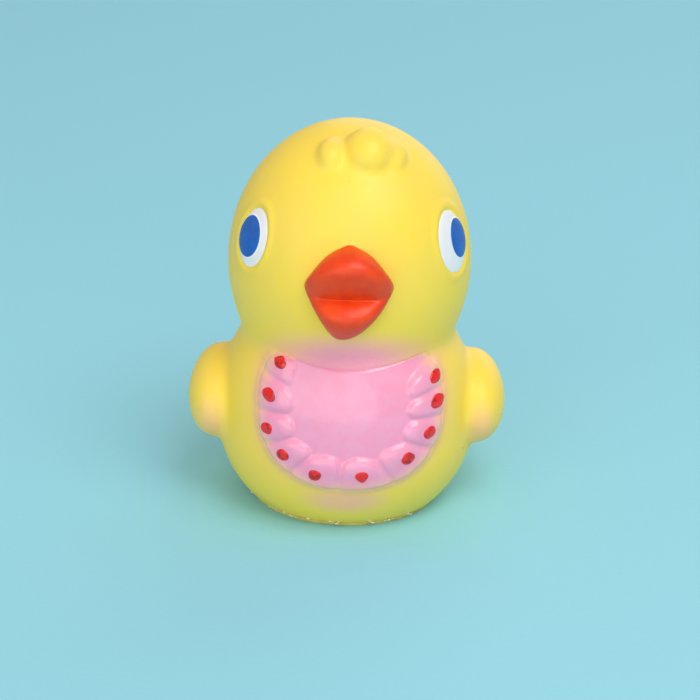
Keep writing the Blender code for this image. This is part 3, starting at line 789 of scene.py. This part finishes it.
# Calendered sheet rubber: matt, a shade browner than the skin, with a fine flat grain.
sheet, tree, shader = finish("sheet_rubber", "E3CE62", Roughness=0.62)
here = add(tree, "TexCoord", "Object")
dust = add(tree, "TexNoise", "Fac", {"Vector": here, "Scale": 260.0, "Detail": 4.0})
pore = add(tree, "TexNoise", "Fac", {"Vector": here, "Scale": 2600.0, "Detail": 2.0})
share = add(tree, "MapRange", "Result", {"Value": dust, "From Min": 0.35, "From Max": 0.7},
            interpolation_type='SMOOTHSTEP')
dusty = add(tree, "Mix", 2, {0: share, 6: "E3CE62", 7: "CDB556"}, data_type='RGBA')
bump = add(tree, "Bump", "Normal", {"Height": pore, "Strength": 0.25, "Distance": 0.0002})
tree.links.new(dusty, shader.inputs["Base Color"])
tree.links.new(bump, shader.inputs["Normal"])
sole.data.materials.append(sheet)
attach(sole, "toy")
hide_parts("base_sheet")

# Dried latex glue: rough off-white crumbs, some of them tanned with age.
glue, tree, shader = finish("dried_glue", "E9E2C4", Roughness=0.6)
here = add(tree, "TexCoord", "Object")
age = add(tree, "TexNoise", "Fac", {"Vector": here, "Scale": 500.0, "Detail": 2.0})
share = add(tree, "MapRange", "Result", {"Value": age, "From Min": 0.45, "From Max": 0.62},
            interpolation_type='SMOOTHSTEP')
aged = add(tree, "Mix", 2, {0: share, 6: "EEE8D2", 7: "C9A15A"}, data_type='RGBA')
bump = add(tree, "Bump", "Normal", {"Height": age, "Strength": 0.4, "Distance": 0.0002})
tree.links.new(aged, shader.inputs["Base Color"])
tree.links.new(bump, shader.inputs["Normal"])

CRUMBS = 64
CRUMBS_ALL_ROUND = 40
CRUMB_ROUGHNESS = 0.22
rand = random.Random(3)
crumbs = []
for number in range(CRUMBS):
    if number < CRUMBS_ALL_ROUND:
        turn = rand.uniform(-math.pi, math.pi)
    else:
        turn = math.radians(rand.uniform(-40, 48))
    size = rand.uniform(0.00010, 0.00026)
    at = on_skin(turn, SEAM_Z) + Vector((0.0, 0.0, rand.uniform(-0.00045, 0.00015)))
    bpy.ops.object.select_all(action='DESELECT')
    bpy.ops.mesh.primitive_ico_sphere_add(subdivisions=2, radius=size, location=at)
    crumb = bpy.context.object
    crumb.scale = (rand.uniform(1.0, 2.4), rand.uniform(0.7, 1.2), rand.uniform(0.6, 1.1))
    crumb.rotation_euler = (rand.uniform(-0.4, 0.4), rand.uniform(-0.3, 0.3), turn)
    bpy.ops.object.transform_apply()
    for vertex in crumb.data.vertices:
        vertex.co += Vector([rand.uniform(-1, 1) * size * CRUMB_ROUGHNESS for _ in range(3)])
    crumbs.append(crumb)
join(crumbs[0], crumbs[1:])
crumbs[0].name = "seam_glue"
bpy.ops.object.shade_smooth()
crumbs[0].data.materials.append(glue)
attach(crumbs[0], "toy")

# ---------------------------------------------------------------------------
# Squeaker.
# A flanged polythene cup pressed into the sheet, a slotted reed plate, a clamp bar and a thin
# film tongue. They keep their CAD shapes: only the cup's face shows, through the hole below.

# Moulded polythene: milky white and waxy, with flow marks 1.5 mm apart.
polythene, tree, shader = finish("moulded_polythene", "E9E7DF", Roughness=0.38, Subsurface_Weight=0.1,
                                 Subsurface_Scale=0.001)
here = add(tree, "TexCoord", "Object")
flow = add(tree, "TexNoise", "Fac", {"Vector": here, "Scale": 600.0, "Detail": 2.0})
milky = add(tree, "Mix", 2, {0: flow, 6: "E4E2D9", 7: "EFEDE6"}, data_type='RGBA')
bump = add(tree, "Bump", "Normal", {"Height": flow, "Strength": 0.08, "Distance": 0.0002})
tree.links.new(milky, shader.inputs["Base Color"])
tree.links.new(bump, shader.inputs["Normal"])

# Reed film: a clear yellowed strip, slightly hazy.
film, tree, shader = finish("reed_film", "D9D4BE", Roughness=0.22)
here = add(tree, "TexCoord", "Object")
haze = add(tree, "TexNoise", "Fac", {"Vector": here, "Scale": 900.0, "Detail": 1.0})
hazy = add(tree, "Mix", 2, {0: haze, 6: "D4CFB8", 7: "E2DECB"}, data_type='RGBA')
tree.links.new(hazy, shader.inputs["Base Color"])
for node, material in (("squeaker_cup", polythene), ("reed_plate", polythene), ("reed_clamp", polythene),
                       ("reed", film)):
    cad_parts[node].data.materials.clear()
    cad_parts[node].data.materials.append(material)

# ---------------------------------------------------------------------------
# Table, light and camera.
# A pale aqua card of matt paper under and behind the toy, a soft light above and to its left, a
# broad weak one in front, one behind, and a long lens looking down on it.

bpy.ops.object.select_all(action='DESELECT')
bpy.ops.mesh.primitive_plane_add(size=6.0, location=(0.0, 0.0, 0.0))
table = bpy.context.object
table.name = "table_card"
card, tree, shader = finish("aqua_card", "8CC9D6", Roughness=0.85)
here = add(tree, "TexCoord", "Object")
fibre = add(tree, "TexNoise", "Fac", {"Vector": here, "Scale": 900.0, "Detail": 3.0})
flecked = add(tree, "Mix", 2, {0: fibre, 6: "92D6EA", 7: "97DAEE"}, data_type='RGBA')
tree.links.new(flecked, shader.inputs["Base Color"])
table.data.materials.append(card)


def soft_light(name, place, aim, size, power, colour):
    light = bpy.data.lights.new(name, 'AREA')
    light.shape = 'DISK'
    light.size = size
    light.energy = power
    light.color = linear(colour)[:3]
    lamp = bpy.data.objects.new(name, light)
    bpy.context.scene.collection.objects.link(lamp)
    lamp.location = place
    lamp.rotation_euler = (Vector(aim) - Vector(place)).to_track_quat('-Z', 'Y').to_euler()


soft_light("window", (0.32, -0.42, 0.90), (0.0, 0.0, 0.04), 0.7, 4.7, "FFFDF8")
soft_light("rear", (0.5, 1.3, 0.5), (0.0, 0.0, 0.04), 1.6, 6.0, "FFFFFF")
soft_light("fill", (-0.30, -1.2, 0.16), (0.0, 0.0, 0.04), 2.2, 16.0, "FFF4EC")
world = bpy.data.worlds.new("studio")
bpy.context.scene.world = world
world.use_nodes = True
world.node_tree.nodes["Background"].inputs["Color"].default_value = linear("FFFAF5")
world.node_tree.nodes["Background"].inputs["Strength"].default_value = 0.46
bpy.context.scene.view_settings.view_transform = 'Standard'

CAMERA_FAR = 0.520
CAMERA_UP = math.radians(22.0)
CAMERA_ROLL = math.radians(1.3)
ORBIT_MIDDLE = Vector((0.0, 0.0, 0.0425))
AIM = Vector((0.0005, 0.0, 0.0316))
lens = bpy.data.cameras.new("camera")
lens.lens = 127.0
lens.sensor_width = 36.0
camera = bpy.data.objects.new("camera", lens)
bpy.context.scene.collection.objects.link(camera)
camera.location = ORBIT_MIDDLE + CAMERA_FAR * Vector((0.0, -math.cos(CAMERA_UP), math.sin(CAMERA_UP)))
camera.rotation_euler = (AIM - camera.location).to_track_quat('-Z', 'Y').to_euler()
camera.rotation_euler.rotate_axis("Z", CAMERA_ROLL)
bpy.context.scene.camera = camera
